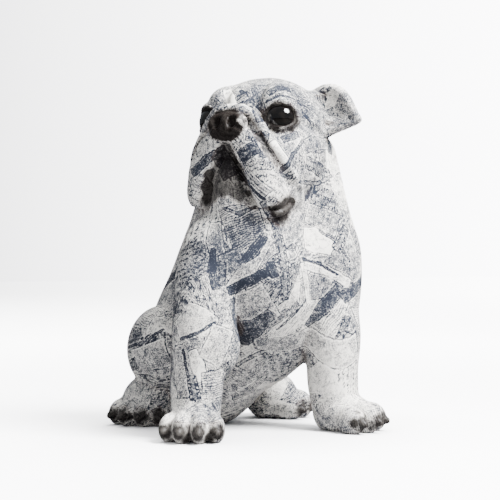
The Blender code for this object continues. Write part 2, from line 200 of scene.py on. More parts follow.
def group(kind, name, inputs, outputs):
    """An empty node group and its sockets; its inputs and outputs are given as names with kinds."""
    tree = bpy.data.node_groups.new(name, kind)
    for way, sockets in (("INPUT", inputs), ("OUTPUT", outputs)):
        for label, value in sockets.items():
            tree.interface.new_socket(label, in_out=way, socket_type="NodeSocket" + value)
    return tree, tree.nodes.new("NodeGroupInput").outputs, tree.nodes.new("NodeGroupOutput").inputs


def egg_group():
    """The distance to an ellipsoid, which has its own place and turn."""
    tree, given, out = group(
        "GeometryNodeTree", "Egg",
        {"Point": "Vector", "Centre": "Vector", "Turn": "Vector", "Radii": "Vector"},
        {"Distance": "Float"})
    reach = turned(tree, compute(tree, "SUBTRACT", given["Point"], given["Centre"]), given["Turn"], True)
    share = compute(tree, "DIVIDE", reach, given["Radii"])
    slope = compute(tree, "LENGTH", compute(tree, "DIVIDE", share, given["Radii"]))
    size = compute(tree, "LENGTH", share)
    rise = calculate(tree, "MULTIPLY", size, calculate(tree, "SUBTRACT", size, 1.0))
    join(tree, out["Distance"], calculate(tree, "DIVIDE", rise, slope))


def limb_group():
    """The distance to a round bar with round ends, of a radius at each end."""
    tree, given, out = group(
        "GeometryNodeTree", "Limb",
        {"Point": "Vector", "Start": "Vector", "Along": "Vector", "Share": "Vector", "Thick": "Float",
         "Growth": "Float"}, {"Distance": "Float"})
    reach = compute(tree, "SUBTRACT", given["Point"], given["Start"])
    way = calculate(tree, "ADD", compute(tree, "DOT_PRODUCT", reach, given["Share"]), 0.0)
    way.node.use_clamp = True
    spine = compute(tree, "SCALE", given["Along"], way)
    aside = compute(tree, "LENGTH", compute(tree, "SUBTRACT", reach, spine))
    radius = calculate(tree, "MULTIPLY_ADD", way, given["Growth"], given["Thick"])
    join(tree, out["Distance"], calculate(tree, "SUBTRACT", aside, radius))


class Clay:
    """A form as a field of distances to its surface, negative inside it."""

    def __init__(self, tree, distance):
        self.tree = tree
        self.distance = distance

    def add(self, other, blend=1.0):
        """This form and the other as one, with a soft joint as wide as the blend."""
        if blend:
            joined = calculate(self.tree, "SMOOTH_MIN", self.distance, other.distance, blend)
        else:
            joined = calculate(self.tree, "MINIMUM", self.distance, other.distance)
        return Clay(self.tree, joined)

    def carve(self, other, blend=1.0):
        """This form without the other, with an edge as soft as the blend."""
        outside = calculate(self.tree, "MULTIPLY", other.distance, -1.0)
        return Clay(self.tree, calculate(self.tree, "SMOOTH_MAX", self.distance, outside, blend))

    def press(self, course, depth, width):
        """A soft crease of this depth along a course."""
        dent = step(self.tree, course.distance, 0.0, width, depth, 0.0)
        return Clay(self.tree, calculate(self.tree, "ADD", self.distance, dent))


class Space:
    """The points of space, seen in the directions of one part of the dog."""

    def __init__(self, tree, point):
        self.tree = tree
        self.point = point

    def local(self, place, pitch=0.0, roll=0.0, yaw=0.0):
        """The same points from a part at place, turned about X, then Y, then Z, in degrees."""
        reach = compute(self.tree, "SUBTRACT", self.point, place)
        return Space(self.tree, turned(self.tree, reach, radians(pitch, roll, yaw), True))

    def mirrored(self):
        """Both sides of the plane X = 0 as one, so that a mass at +X is also at -X."""
        both = compute(self.tree, "ABSOLUTE", self.point)
        across = compute(self.tree, "MULTIPLY", both, (1, 0, 0))
        return Space(self.tree, compute(self.tree, "MULTIPLY_ADD", self.point, (0, 1, 1), across))

    def scaled(self, shares):
        """The same points with each direction shortened or stretched."""
        return Space(self.tree, compute(self.tree, "MULTIPLY", self.point, shares))

    def form(self, name, *values):
        """A form from the node group of this name, with the group's other inputs in order."""
        made = node(self.tree, "GeometryNodeGroup", {"node_tree": bpy.data.node_groups[name]})
        return Clay(self.tree, wire(self.tree, made, (self.point, *values))["Distance"])

    def egg(self, centre, radii, pitch=0.0, roll=0.0, yaw=0.0):
        """An ellipsoid."""
        return self.form("Egg", centre, radians(pitch, roll, yaw), radii)

    def limb(self, start, end, start_radius, end_radius):
        """A round bar with round ends, thicker at one end than at the other."""
        along = Vector(end) - Vector(start)
        return self.form("Limb", start, along, along / along.length_squared,
                         start_radius, end_radius - start_radius)

    def rope(self, points, radii, steps=2):
        """A fold or roll of skin: a smooth course of limbs through the points."""
        form = None
        course = list(zip(*[curve(row, steps) for row in zip(*points)]))
        widths = curve(radii, steps)
        for start, end, thick, thin in zip(course, course[1:], widths, widths[1:]):
            piece = self.limb(start, end, thick, thin)
            form = piece if form is None else form.add(piece, 0)
        return form


def curve(values, steps):
    """The values with smooth steps between them."""
    padded = [2 * values[0] - values[1], *values, 2 * values[-1] - values[-2]]
    result = []
    for before, start, end, after in zip(padded, padded[1:], padded[2:], padded[3:]):
        for number in range(steps):
            t = number / steps
            rise = (end - before) * t + (2 * before - 5 * start + 4 * end - after) * t ** 2
            result.append(start + (rise + (3 * start - before - 3 * end + after) * t ** 3) / 2)
    return result + [values[-1]]


def torso(dog):
    """Chest, belly, rump and back of the sitting body, with the thick neck up to the head."""
    form = dog.egg((3.0, -8, 43), (17.5, 15, 20))
    form = form.add(dog.rope([(6, -7, 38), (9.4, -1, 27), (0.5, 10, 19)], [13, 12.8, 13.2], 3), 5)
    form = form.add(dog.egg((-1.5, 16, 22), (17, 16, 22.9)), 8)
    back = dog.rope([(6, -1, 74), (5, 0, 58), (2, 8, 44), (-1, 15, 30)], [16.5, 17.5, 16.5, 16], 3)
    form = form.add(back, 6)
    nape = dog.rope([(14.8, -5.5, 74), (16.2, -6.5, 62), (18, -8, 50)], [12.0, 13.0, 13.5], 3)
    form = form.add(nape, 6)
    form = form.add(dog.egg((-10.5, -9, 46), (11, 10.5, 14)), 5)
    form = form.add(dog.egg((21.0, -10.5, 42), (11, 10.5, 19)), 5)
    return form.add(dog.limb((-1, -10.5, 46), (-1, -11, 64), 14, 11), 8)


def tail(dog):
    """Short thick tail that lies against the rump."""
    return dog.rope([(-1.5, 29, 19), (-1.5, 32.0, 16.5), (-0.6, 33.2, 13.0)], [3.4, 2.8, 1.8])


def foreleg(dog, side, lean, splay, elbow):
    """One straight foreleg, from the shoulder down to the wrist, with its elbow over the wrist."""
    x, y = side * 18 + lean, -13
    course = [(x - side, y + 2, 41), (x + side * 1.2, y - 0.8, 28), (x + side * (1.8 + splay), y - 1.2, 16),
              (x + side * (2.5 + splay * 1.3), y - 1.5, 5)]
    form = dog.rope(course, [8.4, 8.3, 6.8, 6.5], 8)
    form = form.add(dog.egg((x + side * (2.0 + splay), y + 0.8, 15), (6.0, 7.6, 12)), 3)
    if not elbow:
        return form
    return form.add(dog.egg((x - side * elbow, y - 2.4, 25), (6.8, 6.8, 8.8), roll=side * 10), 3)


def haunches(dog):
    """Folded hind legs: the thighs, and the hocks on the ground."""
    form = dog.egg((-17, 16, 22.2), (9.2, 14, 11.6), pitch=-25, yaw=-6)
    form = form.add(dog.egg((13, 18, 21), (8.6, 13.5, 12), pitch=-25, yaw=6), 4)
    form = form.add(dog.egg((-18.8, 20.4, 6.2), (7.6, 8.4, 8.0)), 1.5)
    return form.add(dog.egg((20.5, 20, 6.5), (8, 7.5, 7.5)), 1.5)


def claw_tips(space, spread, blend):
    """The four claws of one paw."""
    sides = space.mirrored()
    form = sides.egg((2.9 * spread, -10.9, 3.1), (1.2, 1.5, 1.1), pitch=25)
    return form.add(sides.egg((8.0 * spread, -8.1, 3.0), (1.2, 1.5, 1.1), pitch=25, yaw=17), blend)


def paw(space, spread):
    """One paw that points along -Y, with four toes and their claws."""
    sides = space.mirrored()
    form = space.egg((0, -0.5, 4.6), (7.2 * spread, 7.5, 5.6))
    toes = sides.egg((2.45 * spread, -6.6, 3.7), (2.75, 4.6, 4.3), yaw=5)
    toes = toes.add(sides.egg((6.6 * spread, -4.0, 3.4), (2.7, 4.6, 4.0), yaw=17), 0.8)
    form = form.add(toes, 1.0)
    return form.add(claw_tips(space, spread, 0.2), 0.35)


def skull(head):
    """Broad skull with brow bulges, full cheeks below, and the creases between them."""
    sides = head.mirrored()
    form = head.egg((0, 3, 0.6), (15.4, 15.5, 11.6))
    form = form.add(sides.egg((8.0, -6.0, 2.2), (5.8, 6.6, 5.8)), 3)
    form = form.add(head.egg((0, -8.5, 0.0), (6.0, 6.6, 6.5)), 2.5)
    form = form.add(sides.egg((9.5, 1, -10), (8.2, 11.5, 11.5)), 4)
    form = form.add(sides.egg((10.5, -4, -15), (6.6, 9, 10)), 3)
    form = form.add(head.egg((0, -7, -9), (11, 9, 9)), 4)
    furrows = sides.rope([(4.2, -15.0, -1.0), (5.6, -12.6, 4.0), (5.0, -8.5, 8.6)], [0.5, 0.5, 0.2])
    form = form.press(furrows, 1.0, 1.7)
    parting = head.rope([(0, -14.8, 2), (0, -11.5, 7), (0, -4, 11.6)], [0.3, 0.3, 0.2])
    form = form.press(parting, 0.6, 2.0)
    temples = sides.rope([(15.0, -6.5, -2.4), (15.8, 0, -3.4), (15.6, 8, -3.6)], [0.4, 0.4, 0.2])
    return form.press(temples, 1.3, 1.8)


def muzzle(head):
    """Short broad muzzle, with flews that hang down to either side of the chin."""
    sides = head.mirrored()
    form = head.egg((0, -12.5, -8.0), (8.5, 6.0, 6.0))
    form = form.add(sides.egg((5.4, -12.2, -12.0), (6.2, 5.6, 6.5)), 2.5)
    form = form.add(sides.egg((8.8, -9.4, -17.0), (5.9, 7.0, 9.6), roll=-9), 3)
    return form.add(sides.egg((10.3, -8.8, -22.6), (4.8, 6.0, 5.9), roll=-6), 2)


def chin(head):
    """Lower jaw, seen between the flews, with the rims of the lower lip at its sides."""
    sides = head.mirrored()
    form = head.egg((0, -8.0, -19.5), (5.6, 7.4, 8.5))
    form = form.add(head.egg((0, -12.8, -17.4), (3.4, 2.6, 4.2)), 2)
    form = form.add(head.limb((0, -10.5, -22), (0, -6, -32), 5.4, 8.0), 3)
    rim = sides.rope([(1.8, -14.2, -14.6), (3.1, -14.4, -18.5), (4.1, -13.6, -23.0), (5.2, -11.6, -27.0)],
                     [0.6, 0.8, 0.9, 0.8])
    return form.add(rim, 0.8)


def jowls(head):
    """Throat skin under the flews, with a fold along each of them."""
    sides = head.mirrored()
    form = sides.egg((9.0, -1.5, -22.0), (6.5, 5.5, 5.0))
    fold = sides.rope([(7.6, -9.4, -27.2), (10.6, -8.6, -28.6), (13.0, -6.4, -28.0), (13.6, -3.8, -26.0)],
                      [0.9, 1.2, 1.0, 0.7])
    return form.add(fold, 2)


def nose(head):
    """Broad nose with its nostrils and the slit between them."""
    sides = head.mirrored()
    form = head.egg((0, -16.3, -6.2), (5.2, 3.4, 4.0))
    form = form.add(sides.egg((3.3, -17.2, -6.4), (2.6, 2.7, 3.1)), 0.8)
    form = form.add(head.egg((0, -16.8, -8.2), (2.8, 2.6, 2.8)), 1)
    form = form.carve(sides.egg((2.7, -20.0, -6.2), (1.3, 3.6, 1.7), yaw=20), 0.5)
    form = form.carve(sides.limb((3.8, -19.8, -7.2), (5.6, -18.0, -8.6), 0.7, 0.4), 0.5)
    return form.carve(head.limb((0, -20.5, -4.6), (0, -19.4, -12.0), 0.6, 0.7), 0.3)


def nose_roll(head):
    """The roll of skin over the nose, down to the cheeks."""
    sides = head.mirrored()
    course = [(0, -16.6, -1.9), (3.6, -16.6, -2.2), (6.8, -15.2, -4.4),
              (9.2, -13.8, -8.0), (12.0, -12.3, -11.9), (14.3, -9.6, -15.4), (15.6, -6.0, -18.2),
              (15.8, -2.5, -20.4)]
    return sides.rope(course, [1.5, 1.6, 1.7, 1.8, 1.8, 1.7, 1.3, 0.8])


def roll_groove(head):
    """The crease between the nose roll and the flews."""
    course = [(5.4, -16.4, -4.8), (7.2, -15.2, -7.6), (9.2, -14.2, -11.0), (11.8, -12.9, -14.4),
              (13.9, -10.6, -17.6), (14.9, -7.4, -20.4)]
    return head.mirrored().rope(course, [0.2, 0.3, 0.3, 0.3, 0.2, 0.1], 3)


def mouth(head):
    """The hollow under the upper lip, between the flews and the chin."""
    sides = head.mirrored()
    form = sides.rope([(0, -17.5, -13.4), (1.6, -17.2, -16.6), (2.9, -16.4, -20.5), (4.6, -15.0, -24.5)],
                      [1.7, 1.8, 1.9, 2.0])
    return form.add(head.egg((0, -15.0, -19.0), (3.0, 4.6, 6.0)), 1)


def mouth_grooves(head):
    """The deep gaps between the lower lip and the flews."""
    share = 0.4
    course = [(2.2, -15.6 * share, -15.0), (4.2, -14.8 * share, -19.0),
              (5.5, -13.6 * share, -23.0), (7.2, -12.2 * share, -26.6)]
    return head.mirrored().scaled((1, share, 1)).rope(course, [0.8, 1.0, 1.1, 1.2])


def eyelids(head):
    """Lids round both eyes, open like an almond, and the fold over each upper lid."""
    eye = head.mirrored().local(EYE_PLACE, yaw=28)
    form = eye.egg((0, 0, 0), (4.95, 4.95, 4.95))
    form = form.carve(eye.egg((0, -5.4, -0.2), (8.0, 3.7, 3.4)), 0.3)
    fold = eye.egg((0, 0.5, 0.9), (5.5, 5.2, 5.6))
    return form.add(fold.carve(eye.egg((0, -5.4, -1.4), (9.0, 4.4, 5.6)), 0.4), 0.25)


def ears(head):
    """Small thick ears at the back of the skull, folded outwards and open to the front."""
    sides = head.mirrored()
    form = sides.limb((9, 9, 5), (15, 10.2, 4.5), 5.5, 3.6)
    form = form.add(sides.egg((16.2, 10.5, 5.0), (6.4, 1.9, 5.2), roll=38, yaw=8), 1.5)
    course = [(9.0, 9.4, 9.4), (12.6, 9.4, 11.0), (16.0, 9.6, 10.8), (18.8, 9.8, 9.0),
              (20.8, 10.2, 6.2), (22.6, 10.6, 3.4), (23.8, 10.7, 1.9), (20.8, 10.7, 0.9),
              (17.2, 10.5, -0.2), (14.5, 10.0, -1.0)]
    rim = sides.rope(course, [1.4, 1.5, 1.5, 1.4, 1.3, 1.1, 0.9, 1.1, 1.3, 1.8])
    form = form.add(rim, 0.8)
    return form.carve(sides.egg((16.0, 7.5, 5.0), (5.6, 2.6, 3.4), roll=38, yaw=8), 0.8)


def head_form(head):
    """The whole head, carved and built up from the skull outwards."""
    sides = head.mirrored()
    form = skull(head).add(muzzle(head), 2)
    form = form.carve(mouth(head), 0.8)
    form = form.add(nose_roll(head), 0.6)
    form = form.press(roll_groove(head), 1.0, 2.2)
    form = form.add(nose(head), 0.4)
    x, y, z = EYE_PLACE
    form = form.carve(sides.egg((x + 2.4, y - 4.4, z - 0.2), (3.7, 3.6, 3.2), yaw=28), 0.5)
    form = form.add(eyelids(head), 0.3)
    form = form.add(chin(head), 0.5)
    form = form.carve(mouth_grooves(head), 0.6)
    form = form.carve(sides.egg((12.0, -8.6, -28.6), (3.8, 3.6, 1.8), roll=-6), 0.8)
    form = form.add(jowls(head), 0.8)
    return form.add(ears(head), 1.5)


def store(tree, surface, name, value):
    """Keep a value at each point of the surface, for the paint to read."""
    return node(tree, "GeometryNodeStoreNamedAttribute", {"data_type": "FLOAT", "domain": "POINT"},
                Geometry=surface, Name=name, Value=value).outputs["Geometry"]


def moved(tree, surface, place):
    """The surface with its points at these places."""
    return node(tree, "GeometryNodeSetPosition", Geometry=surface, Position=place).outputs["Geometry"]


egg_group()
limb_group()
clay, clay_given, clay_out = group(
    "GeometryNodeTree", "Bulldog clay", {"Cell": "Float", "Finish": "Material"}, {"Geometry": "Geometry"})
position = node(clay, "GeometryNodeInputPosition").outputs["Position"]
centre_shift = (*FIGURE_CENTRE, 0.0)
in_units = compute(clay, "DIVIDE", position, (UNIT, UNIT, UNIT))
dog = Space(clay, compute(clay, "ADD", in_units, centre_shift))
head = dog.local(HEAD_PLACE, pitch=HEAD_PITCH, yaw=HEAD_YAW)

figure = torso(dog)
for side, lean, splay, elbow in ((-1, 1.5, 1.0, 1.4), (1, 2.4, 0.0, 0.0)):
    figure = figure.add(foreleg(dog, side, lean, splay, elbow), 3)
paws = [(dog.local((-20.8, -15.6, 0), yaw=-34), 0.88), (dog.local((24.2, -17.0, 0), yaw=40), 0.96),
        (dog.local((-18.5, 22.0, 0), yaw=-50), 0.95), (dog.local((22.0, 20.0, 0), yaw=62), 0.95)]
for place, spread in paws[:2]:
    figure = figure.add(paw(place, spread), 2)
figure = figure.add(haunches(dog), 2)
figure = figure.add(tail(dog), 1)
for place, spread in paws[2:]:
    figure = figure.add(paw(place, spread), 2)
figure = figure.add(head_form(head), 2.5)
ground = Clay(clay, compute(clay, "DOT_PRODUCT", dog.point, (0, 0, 1)))
figure = figure.carve(ground, 0.6)

clay_low = [(corner - shift) * UNIT for corner, shift in zip(CLAY_LOW, centre_shift)]
clay_high = [(corner - shift) * UNIT for corner, shift in zip(CLAY_HIGH, centre_shift)]
cube = node(clay, "GeometryNodeVolumeCube", Density=calculate(clay, "MULTIPLY", figure.distance, -UNIT),
            Background=-1.0, Min=clay_low, Max=clay_high)
for axis, start, end in zip("XYZ", clay_low, clay_high):
    cells = calculate(clay, "DIVIDE", end - start, clay_given["Cell"])
    join(clay, cube.inputs["Resolution " + axis], cells)
skin = node(clay, "GeometryNodeVolumeToMesh", Volume=cube.outputs["Volume"], Threshold=0.0)
surface = skin.outputs["Mesh"]

# What the paint needs to know of the surface: how far it is from each claw, the nose, the eyes
# and the mouth, and how deep it lies in a hollow, seen from just above it, where the brown is partly
# painted shade
claws = claw_tips(*paws[0], 0)
for place, spread in paws[1:]:
    claws = claws.add(claw_tips(place, spread, 0), 0)
nose_pad = head.egg((0, -17.5, -6.6), (5.4, 3.4, 4.2))
eyeballs = head.mirrored().egg(EYE_PLACE, (EYE_RADIUS, EYE_RADIUS, EYE_RADIUS))
for name, form in (("claw", claws), ("nose", nose_pad), ("eye", eyeballs), ("mouth", mouth(head)),
                   ("lip", mouth_grooves(head))):
    surface = store(clay, surface, name, form.distance)
kept = node(clay, "GeometryNodeCaptureAttribute", Geometry=surface)
facing = node(clay, "GeometryNodeInputNormal").outputs["Normal"]
for label, value in (("Place", position), ("Facing", facing)):
    kept.capture_items.new("VECTOR", label)
    join(clay, kept.inputs[label], value)
surface = kept.outputs["Geometry"]
# depth in creases and in wider hollows, which the brown darkens as painted shade
for name, reach in (("crease", 0.7), ("hollow", 3.0)):
    rise = compute(clay, "MULTIPLY", kept.outputs["Facing"], [reach * UNIT] * 3)
    surface = moved(clay, surface, compute(clay, "ADD", kept.outputs["Place"], rise))
    openness = calculate(clay, "DIVIDE", figure.distance, reach)
    surface = store(clay, surface, name, calculate(clay, "SUBTRACT", 1.0, openness))
surface = moved(clay, surface, kept.outputs["Place"])
whole = node(clay, "GeometryNodeRealizeInstances", Geometry=surface)
painted = node(clay, "GeometryNodeSetMaterial", Geometry=whole.outputs["Geometry"],
               Material=clay_given["Finish"])
join(clay, clay_out["Geometry"], painted.outputs["Geometry"])

paper_skin = bpy.data.materials.new("pasted_paper")
paper_skin.use_nodes = True
dog_body = bpy.data.objects.new("pasted_body", bpy.data.meshes.new("clay"))
bpy.context.scene.collection.objects.link(dog_body)
sculpt = dog_body.modifiers.new("Clay", "NODES")
sculpt.node_group = clay
sculpt[clay.interface.items_tree["Cell"].identifier] = CELL
sculpt[clay.interface.items_tree["Finish"].identifier] = paper_skin
dog_body.data = bpy.data.meshes.new_from_object(
    dog_body.evaluated_get(bpy.context.evaluated_depsgraph_get()))
dog_body.data.name = "pasted_body"
dog_body.modifiers.remove(sculpt)
shape = bmesh.new()
shape.from_mesh(dog_body.data)
bmesh.ops.recalc_face_normals(shape, faces=shape.faces)
shape.to_mesh(dog_body.data)
shape.free()
dog_body.data.shade_smooth()
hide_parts("dog_body")
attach(dog_body, "root")


# The whole casting is covered in printed paper, torn and cut to scraps and pasted edge over edge,
# then sealed flat. Its ink is slate blue on cream stock, in fine ruled lines, stipple and solid bars.
# Claws, nose, lids and the folds of the mouth are brushed over in a brown that is nearly black.
# That brown also darkens creases, hollows and the gaps beside the lower lip, as painted shade there.

PICTURE_SHARE = UNIT * CAMERA_DISTANCE * SENSOR / LENS / PICTURE
FULL_TURN = 6.28
RULED_WAVES = 6.283 / 0.0020
MARK_ROW = 0.0036
TEAR = 0.0032
SCRAP_MARGIN = 0.004
SCRAP_DEPTH = 0.022
BROWN = (0.0055, 0.0034, 0.0025, 1.0)
PALE_BROWN = (0.10, 0.067, 0.045, 1.0)
MIX_SOCKETS = {"FLOAT": (2, 3, 0), "VECTOR": (4, 5, 1), "RGBA": (6, 7, 2)}


def blend(tree, share, below, above, kind="FLOAT"):
    """A number, or another kind of value, that goes from below to above."""
    low, high, result = MIX_SOCKETS[kind]
    made = node(tree, "ShaderNodeMix", {"data_type": kind})
    for number, value in ((0, share), (low, below), (high, above)):
        join(tree, made.inputs[number], value)
    return made.outputs[result]


def noise(tree, point, scale, detail=2.0, rough=0.5, output="Fac"):
    """Clouding of this fineness."""
    return node(tree, "ShaderNodeTexNoise", Vector=point, Scale=scale, Detail=detail,
                Roughness=rough).outputs[output]


def swing(tree, *cloud):
    """Clouding that goes to either side of nought."""
    return calculate(tree, "SUBTRACT", noise(tree, *cloud), 0.5)


def paper_field_group():
    """Scraps all over, as cells with straight edges: each has its own turn, tone and print."""
    tree, given, out = group(
        "ShaderNodeTree", "Paper field",
        {"Point": "Vector", "Scrap Size": "Float", "Stretch": "Vector", "Turn": "Vector"},
        {"Coordinates": "Vector", "Look": "Vector", "Edge": "Float", "Chance": "Float"})
    size = calculate(tree, "DIVIDE", 1.0, given["Scrap Size"])
    place = compute(tree, "MULTIPLY", turned(tree, given["Point"], given["Turn"]), given["Stretch"])
    cell = node(tree, "ShaderNodeTexVoronoi", {"feature": "F1"}, Vector=place, Scale=size)
    border = node(tree, "ShaderNodeTexVoronoi", {"feature": "DISTANCE_TO_EDGE"}, Vector=place, Scale=size)
    fate = cell.outputs["Color"]
    away = compute(tree, "SUBTRACT", place, cell.outputs["Position"])
    join(tree, out["Coordinates"], turned(tree, away, compute(tree, "MULTIPLY", fate, [FULL_TURN] * 3)))
    other = node(tree, "ShaderNodeTexWhiteNoise", {"noise_dimensions": "3D"}, Vector=fate)
    join(tree, out["Look"], other.outputs["Color"])
    join(tree, out["Chance"], other.outputs["Value"])
    join(tree, out["Edge"], calculate(tree, "MULTIPLY", border.outputs["Distance"], given["Scrap Size"]))
    return tree


def lay_scrap_group():
    """A layer of scraps over what is below: where it has one, that scrap's own print and edge."""
    tree, given, out = group(
        "ShaderNodeTree", "Lay scrap",
        {"Coordinates": "Vector", "Look": "Vector", "Edge": "Float", "Own Place": "Vector",
         "Own Look": "Vector", "Tear": "Float"},
        {"Coordinates": "Vector", "Look": "Vector", "Edge": "Float"})
    own = node(tree, "ShaderNodeSeparateXYZ", Vector=given["Own Place"]).outputs
    border = calculate(tree, "ADD", own["Z"], given["Tear"])
    inside = step(tree, border, -0.00012, 0.00012)
    for name, own_name in (("Coordinates", "Own Place"), ("Look", "Own Look")):
        join(tree, out[name], blend(tree, inside, given[name], given[own_name], "VECTOR"))
    gap = calculate(tree, "ABSOLUTE", border)
    near = calculate(tree, "MINIMUM", gap, given["Edge"])
    join(tree, out["Edge"], blend(tree, inside, near, gap))
    return tree


def print_group():
    """The ink on a scrap, from 0 to 1: tone in stipple, ruled lines along it, rows of small marks."""
    tree, given, out = group(
        "ShaderNodeTree", "Scrap print",
        {"Point": "Vector", "Coordinates": "Vector", "Look": "Vector", "Added Tone": "Float"},
        {"Ink": "Float"})
    point = given["Point"]
    look = node(tree, "ShaderNodeSeparateXYZ", Vector=given["Look"]).outputs
    tone, ruled, marked = look["X"], look["Y"], look["Z"]
    own = node(tree, "ShaderNodeSeparateXYZ", Vector=given["Coordinates"]).outputs
    patch = noise(tree, point, 45.0, 2.0, 0.5)
    patch_swing = calculate(tree, "SUBTRACT", patch, 0.5)
    cover = calculate(tree, "MULTIPLY_ADD", swing(tree, point, 190.0, 3.0, 0.6), 1.0, tone)
    cover = calculate(tree, "MULTIPLY_ADD", patch_swing, 0.7, cover)
    # rows of blots and looping fine lines
    row = calculate(tree, "PINGPONG", own["Y"], MARK_ROW)
    flow = compute(tree, "MULTIPLY", given["Coordinates"], (420.0, 300.0, 0.0))
    blots = step(tree, noise(tree, flow, 1.0, 1.0, 0.4), 0.48, 0.54)
    rows = calculate(tree, "MULTIPLY", blots, step(tree, row, 0.0013, 0.0018))
    rows = calculate(tree, "MULTIPLY", rows, step(tree, marked, 0.55, 0.7))
    cover = calculate(tree, "MULTIPLY_ADD", rows, 0.6, cover)
    loops = calculate(tree, "PINGPONG", calculate(tree, "MULTIPLY", patch, 6.0), 0.5)
    loops = calculate(tree, "MULTIPLY", step(tree, loops, 0.07, 0.02), step(tree, marked, 0.5, 0.25))
    cover = calculate(tree, "MULTIPLY_ADD", loops, 0.26, cover)
    cover = calculate(tree, "ADD", cover, given["Added Tone"])
    # stipple, with waving ruled lines where the scrap is ruled
    stipple = calculate(tree, "MULTIPLY", swing(tree, point, 1000.0, 1.0, 0.5), 1.8)
    grain = calculate(tree, "MULTIPLY_ADD", swing(tree, point, 430.0, 2.0, 0.6), 0.65, stipple)
    course = calculate(tree, "ADD", own["Y"], calculate(tree, "MULTIPLY", patch_swing, 0.010))
    waves = calculate(tree, "SINE", calculate(tree, "MULTIPLY", course, RULED_WAVES))
    ruling = calculate(tree, "MULTIPLY", waves, 0.21)
    ruling = calculate(tree, "MULTIPLY", ruling, step(tree, ruled, 0.5, 0.75))
    grain = calculate(tree, "ADD", grain, ruling)
    strength = calculate(tree, "MULTIPLY_ADD", step(tree, cover, -0.1, 0.45), 0.80, 0.20)
    join(tree, out["Ink"], calculate(tree, "MULTIPLY_ADD", grain, strength, cover))
    return tree


paper_field = paper_field_group()
lay_scrap = lay_scrap_group()
scrap_print = print_group()

tree = paper_skin.node_tree
shader = tree.nodes["Principled BSDF"]
point = node(tree, "ShaderNodeTexCoord").outputs["Object"]
shiver = compute(tree, "SUBTRACT", noise(tree, point, 75.0, 4.0, 0.6, "Color"), (0.5, 0.5, 0.5))
torn = compute(tree, "MULTIPLY_ADD", shiver, [TEAR] * 3, point)

lower, upper = [
    node(tree, "ShaderNodeGroup", {"node_tree": paper_field}, Point=torn, Scrap_Size=size, Stretch=stretch,
         Turn=turn).outputs
    for size, stretch, turn in ((0.074, (1.0, 2.4, 1.3), (0.5, 0.3, 0.9)),
                                (0.060, (2.2, 1.0, 0.8), (1.1, -0.7, 2.2)))]
on_top = step(tree, upper["Chance"], 0.60, 0.601)
coordinates = blend(tree, on_top, lower["Coordinates"], upper["Coordinates"], "VECTOR")
look = blend(tree, on_top, lower["Look"], upper["Look"], "VECTOR")
look = compute(tree, "MULTIPLY_ADD", look, (0.36, 1.0, 1.0), (0.18, 0.0, 0.0))
edge = blend(tree, on_top, calculate(tree, "MINIMUM", lower["Edge"], upper["Edge"]), upper["Edge"])
faint = step(tree, noise(tree, point, 25.0, 1.0), 0.5, 0.6, 0.0012, 0.0)
edge = calculate(tree, "ADD", edge, faint)

skin_tree = BVHTree.FromPolygons([corner.co for corner in dog_body.data.vertices],
                                 [face.vertices for face in dog_body.data.polygons])


def seen_spot(x, y, turn=CAMERA_TURN):
    """The place and facing of the surface at x, y, in 500ths of the picture from this turn's camera."""
    eye, right, ahead = view_from(turn)
    share = SENSOR / LENS / PICTURE
    middle = PICTURE / 2
    ray = ahead + right * (x - middle) * share + Vector((0, 0, 1)) * (middle - y) * share
    spot, facing, face, distance = skin_tree.ray_cast(eye, ray.normalized())
    if spot is None:
        spot, facing, face, distance = skin_tree.find_nearest(eye + ray * CAMERA_DISTANCE * UNIT)
    return spot, facing


